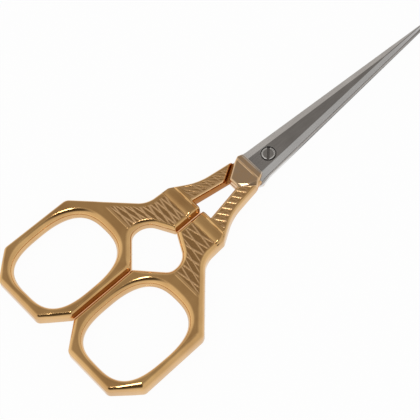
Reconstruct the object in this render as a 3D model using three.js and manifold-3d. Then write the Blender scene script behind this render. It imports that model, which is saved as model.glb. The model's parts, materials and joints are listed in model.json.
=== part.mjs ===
// Embroidery scissors with tower-shaped handles, closed and lying flat.
// Millimetres, +Z up, blades towards +Y.
// The origin is under the middle of the closed pair, on the surface it lies on.
// One half is drawn with its mating plane at z = 0, its finger bow towards +X and the pivot at the origin.
// The rear half is the same half turned over about the line of the blades.

import * as THREE from 'three';
import { mergeVertices } from 'three/addons/utils/BufferGeometryUtils.js';
import Module from 'manifold-3d';

const wasm = await Module();
wasm.setup();

// Fits
const lapGap = 0.1; // between the mating planes of the two halves
const slitGap = 0.3; // between the closed handles
const stepGap = 0.8; // between one half's collar and the step in the other half's leg
const tangClearance = 0.05; // round the tang in its pocket
const heelGap = 0.05; // between the blade's heel and the collar
const runningClearance = 0.06; // round the screw's shank in the front blade
const threadClearance = 0.03; // round the shank in the rear blade
const headGap = 0.3; // round the screw's head in its counterbore
const headSeat = 0.05; // under the screw's head

// Blade, measured from the pivot
const tipReach = 44;
const bladeThickness = 1.1;
const tipThickness = 0.55;
const spineReach = 3.15; // centre line to spine at the pivot
const spineTipReach = 0.26;
const spineDrop = 0.34; // how far the spine's bevel falls below the flat
const edgeReach = 2.8; // centre line to cutting edge at the pivot
const edgeTipReach = 0.04;
const flatHalfWidth = 1.95; // flat between the bevels at the pivot
const ridgeStart = 33; // where the flat has narrowed to a ridge
const ridgeHalfWidth = 0.08;
const tipRidgeHalfWidth = 0.04;

// Tang, the tongue of the blade inside the collar
const tangWidth = 3.6;
const tangThickness = 0.8;
const tangOffset = 0.4; // centre of the tang, towards the finger bow
const tangRoot = 0.5; // how far it runs up into the blade
const tangCover = 1.2; // casting beyond its end

// Pivot screw
const shankRadius = 1;
const headRadius = 1.4;
const headHeight = 0.5;
const headRim = 0.12; // chamfer round the top of the head
const slotWidth = 0.45;
const slotDepth = 0.3;
const slotAngle = -Math.PI / 4;

// Handle thickness and edges
const handleThickness = 3.4;
const edgeRound = 0.45; // rounding of the handle's edges, in plan
const edgeDrop = 0.6; // the same rounding, in height
const cornerRadius = 0.9; // outer corners of the handle, in plan

// Collar where the blade enters the handle
const collarTop = 3.8; // below the pivot
const collarLength = 5.6;
const collarReach = 3.65; // side away from the finger bow
const collarLean = 0.4; // how far that side draws in at the shoulder
const collarShoulderDrop = 2.2; // from the collar's top to its shoulder
const collarCorner = 0.7;
const collarFoot = 1;
const collarChamfer = 1.2;
const collarRamp = 1.2; // slope down to the blade
const collarLip = 0.15; // height of the slope's foot over the blade

// Upper leg, from the collar to the platform
const upperLegLength = 8.8;
const legInnerTop = 1.1;
const legInnerBottom = 2.7;
const legOuterTop = 3.4;
const legKneeReach = 4.95;
const legKneeRise = 3.6; // above the platform
const legKneeRadius = 12;

// Platform, lower leg and arch
const platformDepth = 2.6;
const platformReach = 8.35;
const platformEdgeDrop = 1.7; // from the platform's top to its widest point
const platformCorner = 1.3;
const slitLength = 6.6; // from the platform's top to the arch
const archRadius = 6;
const archFootDrop = 1.7; // from the arch's centre to the bow's slanted side
const flareReach = 8.6;
const flareDrop = 4.4; // from the platform to where the lower leg flares out
const flareRadius = 5;
const baseDrop = 1.1; // from the arch's centre to the foot of the lower leg's panel

// Finger bow
const notchDrop = 6.4; // from the arch's centre to the bow's side along the slit
const bowWidth = 21.25;
const bowSideLength = 15;
const bowFootDrop = 5.8; // from the long sides to the foot
const bowFootChamfer = 4.9; // the foot's corners, across the bow
const bowShoulderRise = 0.6;
const bowShoulderInset = 0.4;
const bowShoulderRadius = 2;
const bowRim = 2.15;
const holeRise = 2.35; // top of the finger hole above the notch
const holeSquareness = 3; // 2 is an ellipse, more is squarer
const holeSides = 48;

// Sunk panels of the two legs and the crossed rungs over the upper one
const panelBorder = 0.65;
const panelDepth = 0.25;
const panelMargin = 0.3; // from the panels' ends to the collar, platform and base line
const rungCount = 6;
const rungWidth = 0.4;
const rungAngle = 0.6;

// Number of steps in each rounded corner and round the screw
const cornerSteps = 4;
const screwSides = 48;

// Heights, and distances from the pivot, that follow from the sizes above
const matingPlane = lapGap / 2;
const bladeTop = matingPlane + bladeThickness;
const handleTop = handleThickness / 2;
const heel = -collarTop + heelGap;
const slit = slitGap / 2;
const collarShoulder = collarTop + collarShoulderDrop;
const collarBottom = collarTop + collarLength;
const platformTop = collarBottom + upperLegLength;
const platformBottom = platformTop + platformDepth;
const archCentre = platformTop + slitLength + archRadius;
const archFoot = archCentre + archFootDrop;
const baseLine = archCentre + baseDrop;
const bowNotch = archCentre + notchDrop;
const bowCorner = bowNotch + bowSideLength;
const bowReach = bowCorner + bowFootDrop;
const bowOuterReach = slit + bowWidth;
const cutReach = tipReach + bowReach; // larger than any piece

const steel = { color: 0x9b9792, roughness: 0.34, metalness: 1 };
const gold = { color: 0xb98c4a, roughness: 0.2, metalness: 1 };
const screwSteel = { color: 0x8d8984, roughness: 0.3, metalness: 1 };

// A closed geometry as a solid that can be joined and cut
function solidOf(geometry) {
  const bare = geometry.clone();
  bare.deleteAttribute('normal');
  bare.deleteAttribute('uv');
  const merged = mergeVertices(bare, 1e-5);
  return new wasm.Manifold(new wasm.Mesh({
    numProp: 3,
    vertProperties: merged.attributes.position.array,
    triVerts: Uint32Array.from(merged.index.array),
  }));
}

function geometryOf(solid) {
  const mesh = solid.getMesh();
  const geometry = new THREE.BufferGeometry();
  geometry.setAttribute('position', new THREE.BufferAttribute(mesh.vertProperties, 3));
  geometry.setIndex(new THREE.BufferAttribute(mesh.triVerts, 1));
  geometry.computeVertexNormals();
  return geometry;
}

function pieceOf(name, geometry, finish) {
  const piece = new THREE.Mesh(geometry, new THREE.MeshStandardMaterial(finish));
  piece.name = name;
  return piece;
}

function box(x0, x1, y0, y1, z0, z1) {
  const geometry = new THREE.BoxGeometry(x1 - x0, y1 - y0, z1 - z0);
  geometry.translate((x0 + x1) / 2, (y0 + y1) / 2, (z0 + z1) / 2);
  return solidOf(geometry);
}

function cylinder(radius, z0, z1) {
  const geometry = new THREE.CylinderGeometry(radius, radius, z1 - z0, screwSides);
  geometry.rotateX(Math.PI / 2);
  geometry.translate(0, 0, (z0 + z1) / 2);
  return solidOf(geometry);
}

// A plain upright prism of an outline between two heights
function prism(shape, z0, z1) {
  const geometry = new THREE.ExtrudeGeometry(shape, {
    depth: z1 - z0, bevelEnabled: false, curveSegments: cornerSteps,
  });
  geometry.translate(0, 0, z0);
  return solidOf(geometry);
}

// The handle's full thickness of an outline, with its edges rounded off on both faces
function casting(shape) {
  const geometry = new THREE.ExtrudeGeometry(shape, {
    depth: handleThickness - 2 * edgeDrop,
    bevelThickness: edgeDrop,
    bevelSize: edgeRound,
    bevelOffset: -edgeRound,
    bevelSegments: 2,
    curveSegments: cornerSteps,
  });
  geometry.translate(0, 0, edgeDrop - handleTop);
  return solidOf(geometry);
}

// An outline drawn in by the panels' border, as a prism from the panels' floor up
function sunkOutline(shape) {
  const geometry = new THREE.ExtrudeGeometry(shape, {
    depth: handleThickness,
    bevelThickness: panelDepth,
    bevelSize: 0,
    bevelOffset: -panelBorder,
    bevelSegments: 1,
    curveSegments: cornerSteps,
  });
  geometry.translate(0, 0, handleTop);
  return solidOf(geometry);
}

// Adds a corner to a path, rounded by an arc that touches both of its sides
function roundCorner(path, before, corner, after, radius) {
  const back = before.clone().sub(corner).normalize();
  const ahead = after.clone().sub(corner).normalize();
  const half = Math.acos(back.dot(ahead)) / 2;
  const inward = back.clone().add(ahead).normalize();
  const centre = corner.clone().addScaledVector(inward, radius / Math.sin(half));
  const start = corner.clone().addScaledVector(back, radius / Math.tan(half)).sub(centre);
  const end = corner.clone().addScaledVector(ahead, radius / Math.tan(half)).sub(centre);
  path.absarc(centre.x, centre.y, radius, start.angle(), end.angle(), back.cross(ahead) > 0);
}

// Adds a run of corners to a path, each given as x, y and the radius of its rounding
function addCorners(path, before, corners, after) {
  const points = [before, ...corners, after].map(([x, y]) => new THREE.Vector2(x, y));
  corners.forEach(([x, y, radius], i) => {
    if (radius > 0) {
      roundCorner(path, points[i], points[i + 1], points[i + 2], radius);
    } else {
      path.lineTo(x, y);
    }
  });
}

// Finger hole, a rounded square drawn as a superellipse inside the bow's rim
function fingerHole() {
  const left = slit + bowRim;
  const right = bowOuterReach - bowRim;
  const bottom = bowRim - bowReach;
  const halfWidth = (right - left) / 2;
  const halfHeight = (holeRise - bowNotch - bottom) / 2;
  const power = 2 / holeSquareness;
  const points = [];
  for (let i = 0; i < holeSides; i += 1) {
    const angle = 2 * Math.PI * i / holeSides;
    const across = Math.sign(Math.cos(angle)) * Math.abs(Math.cos(angle)) ** power;
    const along = Math.sign(Math.sin(angle)) * Math.abs(Math.sin(angle)) ** power;
    points.push(new THREE.Vector2(left + halfWidth * (1 + across), bottom + halfHeight * (1 + along)));
  }
  return new THREE.Path().setFromPoints(points);
}

// Leg and bow in plan, from the collar down the inner side, round the bow and up the outer side
function handleOutline() {
  const archStart = Math.acos(slit / archRadius);
  const archEnd = Math.asin((archCentre - archFoot) / archRadius);
  const archFootReach = archRadius * Math.cos(archEnd);
  const legTop = [legInnerTop, -collarShoulder];
  const shape = new THREE.Shape();
  shape.moveTo(...legTop);
  addCorners(shape, legTop, [
    [legInnerTop, -collarBottom, 0],
    [legInnerBottom, -platformTop, 0],
    [slit, -platformTop, cornerRadius],
  ], [slit, -archCentre]);
  shape.absarc(0, -archCentre, archRadius, archStart, archEnd, true);
  addCorners(shape, [archFootReach, -archFoot], [
    [slit, -bowNotch, cornerRadius],
    [slit, -bowCorner, cornerRadius],
    [slit + bowFootChamfer, -bowReach, cornerRadius],
    [bowOuterReach - bowFootChamfer, -bowReach, cornerRadius],
    [bowOuterReach, -bowCorner, cornerRadius],
    [bowOuterReach - bowShoulderInset, bowShoulderRise - bowNotch, bowShoulderRadius],
    [flareReach, -platformBottom - flareDrop, flareRadius],
    [platformReach, -platformTop - platformEdgeDrop, platformCorner],
    [legKneeReach, legKneeRise - platformTop, legKneeRadius],
    [legOuterTop, -collarShoulder, 0],
  ], legTop);
  shape.holes.push(fingerHole());
  return shape;
}

// Collar in plan, narrowing towards the gap between the legs
function collarOutline() {
  const start = [legOuterTop - collarChamfer, -collarTop];
  const shape = new THREE.Shape();
  shape.moveTo(...start);
  addCorners(shape, start, [
    [-collarReach, -collarTop, collarCorner],
    [collarLean - collarReach, -collarShoulder, 0],
    [-collarFoot, -collarBottom, 0],
    [legOuterTop, -collarBottom, 0],
    [legOuterTop, -collarTop - collarChamfer, 0],
  ], start);
  return shape;
}

// Everything below the mating plane that makes room for the other half's collar
function lapCut() {
  const shoulder = new THREE.Vector2(collarReach - collarLean, -collarShoulder);
  const foot = new THREE.Vector2(collarFoot, -collarBottom);
  const along = shoulder.clone().sub(foot).normalize();
  const outward = new THREE.Vector2(along.y, -along.x);
  const step = foot.clone().addScaledVector(outward, stepGap);
  const floor = -collarBottom - stepGap;
  const corner = step.clone().addScaledVector(along, (floor - step.y) / along.y);
  const far = step.clone().addScaledVector(along, cutReach);
  const shape = new THREE.Shape([
    new THREE.Vector2(-cutReach, floor),
    corner,
    far,
    new THREE.Vector2(-cutReach, far.y),
  ]);
  return prism(shape, -handleThickness, matingPlane);
}

// Slope from the collar's face down to the blade
function rampCut() {
  const foot = -collarTop;
  const head = -collarTop - collarRamp;
  const shape = new THREE.Shape([
    new THREE.Vector2(foot, bladeTop + collarLip),
    new THREE.Vector2(foot + collarRamp, bladeTop + collarLip),
    new THREE.Vector2(foot + collarRamp, handleThickness),
    new THREE.Vector2(head, handleThickness),
    new THREE.Vector2(head, handleTop),
  ]);
  const geometry = new THREE.ExtrudeGeometry(shape, { depth: cutReach, bevelEnabled: false });
  const across = new THREE.Vector3(1, 0, 0);
  const forward = new THREE.Vector3(0, 1, 0);
  const up = new THREE.Vector3(0, 0, 1);
  geometry.translate(0, 0, -cutReach / 2);
  geometry.applyMatrix4(new THREE.Matrix4().makeBasis(forward, up, across));
  return solidOf(geometry);
}

// Tang in plan, a tongue with a round end, grown by a margin for its pocket
function tangOutline(margin) {
  const halfWidth = tangWidth / 2 + margin;
  const root = heel + tangRoot;
  const end = tangCover - collarBottom + tangWidth / 2;
  const shape = new THREE.Shape();
  shape.moveTo(tangOffset - halfWidth, root);
  shape.lineTo(tangOffset - halfWidth, end);
  shape.absarc(tangOffset, end, halfWidth, Math.PI, 2 * Math.PI, false);
  shape.lineTo(tangOffset + halfWidth, root);
  return shape;
}

// The upper leg's crossed rungs, as bars that reach past the panel on both sides
function rungs() {
  const bars = [];
  for (let i = 0; i < rungCount; i += 1) {
    const share = (i + 0.5) / rungCount;
    const along = THREE.MathUtils.lerp(collarBottom, platformTop, share);
    const inner = THREE.MathUtils.lerp(legInnerTop, legInnerBottom, share);
    const outer = THREE.MathUtils.lerp(legOuterTop, legKneeReach, share);
    for (const angle of [rungAngle, -rungAngle]) {
      const geometry = new THREE.BoxGeometry(2 * platformReach, rungWidth, handleThickness);
      geometry.rotateZ(angle);
      geometry.translate((inner + outer) / 2, -along, handleTop);
      bars.push(solidOf(geometry));
    }
  }
  return bars.reduce((all, bar) => all.add(bar));
}

// The two legs' sunk panels on one face, with the rungs left standing
function panelCut(outline) {
  const upper = box(0, cutReach, panelMargin - platformTop, -collarBottom - panelMargin, 0, handleThickness);
  const lower = box(0, cutReach, panelMargin - baseLine, -platformBottom - panelMargin, 0, handleThickness);
  const sunk = sunkOutline(outline);
  return sunk.intersect(upper.subtract(rungs())).add(sunk.intersect(lower));
}

// A solid mirrored in the plane between the halves
function mirrored(solid) {
  const geometry = geometryOf(solid);
  geometry.scale(1, 1, -1);
  const corners = geometry.index.array;
  for (let i = 0; i < corners.length; i += 3) {
    [corners[i], corners[i + 1]] = [corners[i + 1], corners[i]];
  }
  return solidOf(geometry);
}

// One handle: the leg with its bow, the collar, and the cuts for the other half, the blade and the panels
function handle() {
  const outline = handleOutline();
  const panels = panelCut(outline);
  const pocketTop = matingPlane + tangThickness + tangClearance;
  return casting(outline)
    .add(casting(collarOutline()))
    .subtract(lapCut())
    .subtract(rampCut())
    .subtract(prism(tangOutline(tangClearance), 0, pocketTop))
    .subtract(panels)
    .subtract(mirrored(panels));
}

// One section of the blade: the mating face, the cutting bevel, the flat, the spine's bevel and the spine
function bladeSection(y) {
  const share = y / tipReach;
  const spine = -THREE.MathUtils.lerp(spineReach, spineTipReach, share);
  const edge = THREE.MathUtils.lerp(edgeReach, edgeTipReach, share);
  const thickness = THREE.MathUtils.lerp(bladeThickness, tipThickness, Math.max(share, 0));
  const ridge = THREE.MathUtils.mapLinear(y, 0, ridgeStart, flatHalfWidth, ridgeHalfWidth);
  const pastRidge = Math.max(0, (y - ridgeStart) / (tipReach - ridgeStart));
  const flat = pastRidge > 0 ? THREE.MathUtils.lerp(ridgeHalfWidth, tipRidgeHalfWidth, pastRidge) : ridge;
  const middle = pastRidge * (spine + edge) / 2;
  const top = matingPlane + thickness;
  return [
    new THREE.Vector3(spine, y, matingPlane),
    new THREE.Vector3(edge, y, matingPlane),
    new THREE.Vector3(middle + flat, y, top),
    new THREE.Vector3(middle - flat, y, top),
    new THREE.Vector3(spine, y, top - spineDrop * thickness / bladeThickness),
  ];
}

// A closed skin over sections that follow each other towards the tip
function loft(sections) {
  const sides = sections[0].length;
  const positions = sections.flat().flatMap((point) => point.toArray());
  const index = [];
  for (let s = 0; s + 1 < sections.length; s += 1) {
    for (let i = 0; i < sides; i += 1) {
      const a = s * sides + i;
      const b = s * sides + (i + 1) % sides;
      index.push(a, b + sides, b, a, a + sides, b + sides);
    }
  }
  const last = (sections.length - 1) * sides;
  for (let i = 1; i + 1 < sides; i += 1) {
    index.push(0, i, i + 1);
    index.push(last, last + i + 1, last + i);
  }
  const geometry = new THREE.BufferGeometry();
  geometry.setAttribute('position', new THREE.Float32BufferAttribute(positions, 3));
  geometry.setIndex(index);
  return geometry;
}

function bladeBlank() {
  const sections = [heel, 0, ridgeStart, tipReach].map(bladeSection);
  const tang = prism(tangOutline(0), matingPlane, matingPlane + tangThickness);
  return solidOf(loft(sections)).add(tang);
}

function frontBlade() {
  const seat = bladeTop - headHeight - headSeat;
  return bladeBlank()
    .subtract(cylinder(shankRadius + runningClearance, 0, handleThickness))
    .subtract(cylinder(headRadius + headGap, seat, handleThickness));
}

function rearBlade() {
  return bladeBlank().subtract(cylinder(shankRadius + threadClearance, 0, handleThickness));
}

// Slotted screw, its head flush in the front blade and its end flush with the rear blade
function pivotScrew() {
  const underHead = bladeTop - headHeight;
  const profile = [
    new THREE.Vector2(0, -bladeTop),
    new THREE.Vector2(shankRadius, -bladeTop),
    new THREE.Vector2(shankRadius, underHead),
    new THREE.Vector2(headRadius, underHead),
    new THREE.Vector2(headRadius, bladeTop - headRim),
    new THREE.Vector2(headRadius - headRim, bladeTop),
    new THREE.Vector2(0, bladeTop),
  ];
  const turned = new THREE.LatheGeometry(profile, screwSides);
  turned.rotateX(Math.PI / 2);
  const slot = new THREE.BoxGeometry(4 * headRadius, slotWidth, 2 * slotDepth);
  slot.rotateZ(slotAngle);
  slot.translate(0, 0, bladeTop);
  return solidOf(turned).subtract(solidOf(slot));
}

const handleGeometry = geometryOf(handle());

const frontHalf = new THREE.Group();
frontHalf.add(pieceOf('front_blade', geometryOf(frontBlade()), steel));
frontHalf.add(pieceOf('front_handle', handleGeometry, gold));

const rearHalf = new THREE.Group();
rearHalf.rotation.y = Math.PI;
rearHalf.add(pieceOf('rear_blade', geometryOf(rearBlade()), steel));
rearHalf.add(pieceOf('rear_handle', handleGeometry.clone(), gold));

const pair = new THREE.Group();
pair.add(frontHalf, rearHalf, pieceOf('pivot_screw', geometryOf(pivotScrew()), screwSteel));
pair.position.set(0, (bowReach - tipReach) / 2, handleTop);

const scissors = new THREE.Group();
scissors.add(pair);

export default scissors;
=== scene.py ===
import json
import math

import bpy
import numpy as np
from mathutils import Euler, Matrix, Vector


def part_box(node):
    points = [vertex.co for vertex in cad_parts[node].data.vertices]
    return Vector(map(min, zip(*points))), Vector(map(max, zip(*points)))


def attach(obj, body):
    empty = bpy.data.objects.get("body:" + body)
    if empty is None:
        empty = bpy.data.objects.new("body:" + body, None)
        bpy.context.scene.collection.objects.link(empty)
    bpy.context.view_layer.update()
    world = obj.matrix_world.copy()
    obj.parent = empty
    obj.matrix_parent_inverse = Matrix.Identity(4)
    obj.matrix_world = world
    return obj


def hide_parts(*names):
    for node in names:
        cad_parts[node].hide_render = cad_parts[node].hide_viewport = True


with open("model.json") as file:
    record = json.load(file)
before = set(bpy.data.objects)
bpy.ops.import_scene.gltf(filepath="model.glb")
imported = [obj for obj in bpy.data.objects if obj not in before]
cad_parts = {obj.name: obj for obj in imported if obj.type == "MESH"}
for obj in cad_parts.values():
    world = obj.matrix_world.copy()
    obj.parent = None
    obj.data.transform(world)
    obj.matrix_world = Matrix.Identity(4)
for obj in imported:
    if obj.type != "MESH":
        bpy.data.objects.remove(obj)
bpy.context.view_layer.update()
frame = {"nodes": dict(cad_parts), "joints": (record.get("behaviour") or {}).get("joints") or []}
print("frame loaded:", ", ".join(sorted(frame["nodes"])))

scene = bpy.context.scene
join = np.concatenate
mm = 0.001
pivot = np.array(frame["joints"][0]["pos_m"]) / mm  # screw axis between the mating faces, mm
handleLow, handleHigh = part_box("front_handle")
_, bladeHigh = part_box("front_blade")
bowReach = pivot[1] - handleLow.y / mm  # pivot to the foot of the bows
bowSide = handleHigh.x / mm  # pivot to the outer side of a bow
tipReach = bladeHigh.y / mm - pivot[1]  # pivot to the point
bladeTop = bladeHigh.z / mm - pivot[2]  # from the plane between the halves to the blade's flat
matingGap, tongueGap, collarGap = 0.05, 0.09, 0.13  # that plane to the blade, the leg's end and the collar
mergeDigits = 4  # points that agree to this many decimals are merged
sharpGold, sharpSteel = math.radians(48), math.radians(28)  # edges that turn more than this stay sharp


# Soft step: 0 below low, 1 above high, 3t2 - 2t3 between them
def softStep(value, low, high):
    t = np.clip((value - low) / (high - low), 0, 1)
    return t * t * (3 - 2 * t)


# Goes from the start to the end by a share from 0 to 1
def mixed(start, end, share):
    return start + (end - start) * share


# Smooth minimum: the smaller of two heights, with the crease rounded over about `blend`
def softMin(a, b, blend):
    t = np.clip(0.5 + 0.5 * (b - a) / blend, 0, 1)
    return b + (a - b) * t - blend * t * (1 - t)


# Broken line with rounded corners: each (x, y, radius) becomes the arc that touches both of its sides
def roundedPath(corners, spacing, arcSteps):
    corners = [np.array(c, float) for c in corners]
    points = [corners[0][:2]]
    for before, corner, after in zip(corners, corners[1:], corners[2:] + [None]):
        here, radius = corner[:2], corner[2] if len(corner) > 2 else 0
        arc = here[None]
        if after is not None and radius > 0:
            back = (before[:2] - here) / np.linalg.norm(before[:2] - here)
            ahead = (after[:2] - here) / np.linalg.norm(after[:2] - here)
            half = math.acos(back @ ahead) / 2
            inward = (back + ahead) / np.linalg.norm(back + ahead)
            centre = here + inward * radius / math.sin(half)
            start = here + back * radius / math.tan(half) - centre
            sweep = math.pi - 2 * half
            turn = np.sign(back[1] * ahead[0] - back[0] * ahead[1]) * np.linspace(0, sweep, arcSteps)
            arc = centre + np.stack([start[0] * np.cos(turn) - start[1] * np.sin(turn),
                                     start[0] * np.sin(turn) + start[1] * np.cos(turn)], 1)
        steps = max(1, math.ceil(np.linalg.norm(arc[0] - points[-1]) / spacing))
        share = np.linspace(0, 1, steps + 1)[1:-1, None]
        points.extend(points[-1] + share * (arc[0] - points[-1]))
        points.extend(arc)
    return np.array(points)


# Points at the given shares of a path's length
def alongPath(path, share):
    length = join([[0], np.cumsum(np.linalg.norm(np.diff(path, axis=0), axis=1))])
    return np.stack([np.interp(share * length[-1], length, path[:, i]) for i in (0, 1)], -1)


# Shortest distance from each point to a broken line, one segment at a time
def pathDistance(points, path):
    best = np.full(points.shape[:-1], np.inf)
    for a, b in zip(path[:-1], path[1:]):
        side = b - a
        if side @ side > 1e-12:  # two equal points make no segment
            share = np.clip((points - a) @ side / (side @ side), 0, 1)
            best = np.minimum(best, np.linalg.norm(points - a - share[..., None] * side, axis=-1))
    return best


# Where two straight lines cross, each given as a point and a direction
def crossing(pointA, wayA, pointB, wayB):
    t, _ = np.linalg.solve(np.stack([wayA, -wayB], 1), pointB - pointA)
    return pointA + t * wayA


# Point at the given y on the line through two points
def atLevel(a, b, y):
    return a + (y - a[1]) / (b[1] - a[1]) * (b - a)


# Two triangles for each cell of a grid, with the last column joined to the first where it is closed
def gridTriangles(rows, columns, closed=False):
    c = np.arange(columns if closed else columns - 1)
    r = np.arange(rows - 1)[:, None]
    a, b = r * columns + c, r * columns + (c + 1) % columns
    halves = [np.stack([a, b, b + columns], -1), np.stack([a, b + columns, a + columns], -1)]
    return join(halves).reshape(-1, 3)


# One mesh from several sets of points and triangles: equal points are merged and empty triangles dropped
def mergePoints(pointSets, triangleSets):
    points = join(pointSets)
    starts = np.cumsum([0] + [len(p) for p in pointSets])
    triangles = join([t + s for t, s in zip(triangleSets, starts)])
    _, first, same = np.unique(np.round(points, mergeDigits), axis=0, return_index=True, return_inverse=True)
    triangles = same.ravel()[triangles]
    return points[first], triangles[np.all(triangles != np.roll(triangles, 1, axis=1), axis=1)], first


# A half's own millimetres to the frame: the rear half is the same half turned over about the blades' line
def placed(points, turnedOver):
    return (points * ([-1, 1, -1] if turnedOver else 1) + pivot) * mm


# The way back: the points of a mesh in its half's own millimetres
def ownPoints(mesh, turnedOver):
    places = np.empty(len(mesh.vertices) * 3)
    mesh.vertices.foreach_get("co", places)
    return (places.reshape(-1, 3) / mm - pivot) * ([-1, 1, -1] if turnedOver else 1)


# One number per point, which a finish reads by its name
def setShare(mesh, name, share):
    mesh.attributes.new(name, "FLOAT", "POINT").data.foreach_set("value", share.astype(np.float32))


def addObject(name, data):
    thing = bpy.data.objects.new(name, data)
    scene.collection.objects.link(thing)
    return thing


def addMesh(name, points, faces):
    mesh = bpy.data.meshes.new(name)
    mesh.from_pydata(points, [], faces)
    return addObject(name, mesh)


def makePiece(name, points, faces, material, body, node):
    piece = addMesh(name, points.tolist(), faces)
    mesh = piece.data
    mesh.polygons.foreach_set("use_smooth", np.ones(len(mesh.polygons), bool))
    mesh.materials.append(material)
    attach(piece, body)
    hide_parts(node)
    print(f"{name}: {len(mesh.vertices)} points, {len(mesh.polygons)} faces")
    return piece


# Cuts a closed tool mesh out of a piece, and drops the tool
def cutOut(piece, points, faces):
    tool = addMesh("cutter", points.tolist(), faces)
    cut = piece.modifiers.new("cut", "BOOLEAN")
    cut.object, cut.operation, cut.solver = tool, "DIFFERENCE", "EXACT"
    whole = bpy.data.meshes.new_from_object(piece.evaluated_get(bpy.context.evaluated_depsgraph_get()))
    piece.modifiers.clear()
    piece.data = whole
    bpy.data.objects.remove(tool)
    whole.set_sharp_from_angle(angle=sharpSteel)


# A new node, with a link or a constant for each socket, given by name or number
def addNode(tree, kind, sockets, operation=None):
    node = tree.nodes.new("ShaderNode" + kind)
    if operation:
        node.operation = operation
    for key, value in sockets.items():
        if isinstance(value, bpy.types.NodeSocket):
            tree.links.new(value, node.inputs[key])
        else:
            node.inputs[key].default_value = value
    return node.outputs


def noiseNode(tree, vector, scale, detail=3, roughness=0.5):
    sockets = dict(Vector=vector, Scale=scale, Detail=detail, Roughness=roughness)
    return addNode(tree, "TexNoise", sockets)["Fac"]


def rangeNode(tree, value, low, high, toLow, toHigh):
    ends = {"From Min": low, "From Max": high, "To Min": toLow, "To Max": toHigh}
    return addNode(tree, "MapRange", {"Value": value, **ends})["Result"]


def mathNode(tree, operation, a, b):
    return addNode(tree, "Math", {0: a, 1: b}, operation)["Value"]


def alongNode(tree, way, direction):
    return addNode(tree, "VectorMath", {0: way, 1: direction}, "DOT_PRODUCT")["Value"]


def rampNode(tree, value, places, colours):
    node = tree.nodes.new("ShaderNodeValToRGB")
    for i in (0, 1):
        node.color_ramp.elements[i].position = places[i]
        node.color_ramp.elements[i].color = (*colours[i], 1)
    tree.links.new(value, node.inputs["Fac"])
    return node.outputs["Color"]


def shareNode(tree, name):
    node = tree.nodes.new("ShaderNodeAttribute")
    node.attribute_name = name
    return node.outputs["Fac"]


# Mixes a colour or number towards a fixed one by the given share
def mixNode(tree, share, start, end):
    node = tree.nodes.new("ShaderNodeMix")
    coloured = isinstance(end, tuple)
    node.data_type = "RGBA" if coloured else "FLOAT"
    sockets = [s for s in node.inputs if s.type == ("RGBA" if coloured else "VALUE")][-2:]
    tree.links.new(share, node.inputs[0])
    tree.links.new(start, sockets[0])
    sockets[1].default_value = (*end, 1) if coloured else end
    return [s for s in node.outputs if s.type == sockets[0].type][0]


def newMaterial(name):
    material = bpy.data.materials.new(name)
    material.use_nodes = True
    return material, material.node_tree, material.node_tree.nodes["Principled BSDF"]


# A metal with the given colour, roughness and bump
def finishMetal(tree, shader, colour, rough, height, finish):
    bump = dict(Strength=finish["bump"], Distance=finish["bumpHeight"], Height=height)
    normal = addNode(tree, "Bump", bump)["Normal"]
    shader.inputs["Metallic"].default_value = 1
    for key, value in (("Base Color", colour), ("Roughness", rough), ("Normal", normal)):
        tree.links.new(value, shader.inputs[key])


noiseSpan = (0.3, 0.7)  # most of a noise lies between these
# The ridge colour is a painted highlight, and the crevice and shade colours are painted shade
goldFinish = dict(bright=(0.79, 0.485, 0.205), deep=(0.635, 0.362, 0.145), toneScale=140,
                  toneFrom=(0.3, 0.62), sunk=(0.41, 0.228, 0.09), ridge=(0.99, 0.65, 0.35),
                  creviceShade=(0.70, 0.27, 0.055), shade=(0.37, 0.125, 0.005), worn=(0.60, 0.44, 0.30),
                  bare=(0.60, 0.53, 0.47), wearScale=900, leastWear=0.6, polish=0.07, dull=0.13,
                  glossScale=420, sunkRough=0.28, grainScale=2600, rippleScale=260, bump=0.08,
                  bumpHeight=0.0004)


# Polished gold plating: patchy tone and a fine casting ripple; darker and rougher where "sunk" is 1, paler
# where "ridge" is 1 (a painted highlight), redder and then dark towards "deep" 1 (painted shade in crevices),
# greyer in patches where "worn" is 1, bare at 2
def goldMaterial(finish):
    material, tree, shader = newMaterial("gold plating")
    place = addNode(tree, "TexCoord", {})["Object"]
    sunk, ridge, deep, worn = (shareNode(tree, name) for name in ("sunk", "ridge", "deep", "worn"))
    tone = rampNode(tree, noiseNode(tree, place, finish["toneScale"]), finish["toneFrom"],
                    (finish["deep"], finish["bright"]))
    patchy = rangeNode(tree, noiseNode(tree, place, finish["wearScale"]), *noiseSpan, finish["leastWear"], 1)
    tone = mixNode(tree, mathNode(tree, "MULTIPLY", worn, patchy), tone, finish["worn"])
    tone = mixNode(tree, rangeNode(tree, worn, 1, 2, 0, 1), tone, finish["bare"])
    darkestShade = mathNode(tree, "MULTIPLY", deep, deep)
    # Painted highlight on ridges, then painted shade in crevices, darkest where deep is highest
    for share, key in ((sunk, "sunk"), (ridge, "ridge"), (deep, "creviceShade"), (darkestShade, "shade")):
        tone = mixNode(tree, share, tone, finish[key])
    gloss = noiseNode(tree, place, finish["glossScale"])
    rough = rangeNode(tree, gloss, *noiseSpan, finish["polish"], finish["dull"])
    rough = mixNode(tree, sunk, rough, finish["sunkRough"])
    grain = mathNode(tree, "MULTIPLY", noiseNode(tree, place, finish["grainScale"]), sunk)
    ripple = noiseNode(tree, place, finish["rippleScale"], detail=1)
    finishMetal(tree, shader, tone, rough, mathNode(tree, "ADD", grain, ripple), finish)
    return material


# flat is the colour of a painted shade on flat tops, and the last, darkest colour is painted shade elsewhere
steelFinish = dict(light=(0.83, 0.81, 0.80), dark=(0.71, 0.693, 0.685), toneFrom=(0.35, 0.65),
                   flat=(0.263, 0.252, 0.246), leastFlat=0.8, paintedShade=(0.17, 0.16, 0.155), satin=0.26,
                   dull=0.36, flatRough=0.3, lines=(6000, 260, 6000), lineShare=0.6, cloudScale=160,
                   bump=0.05, bumpHeight=0.0002)
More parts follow.
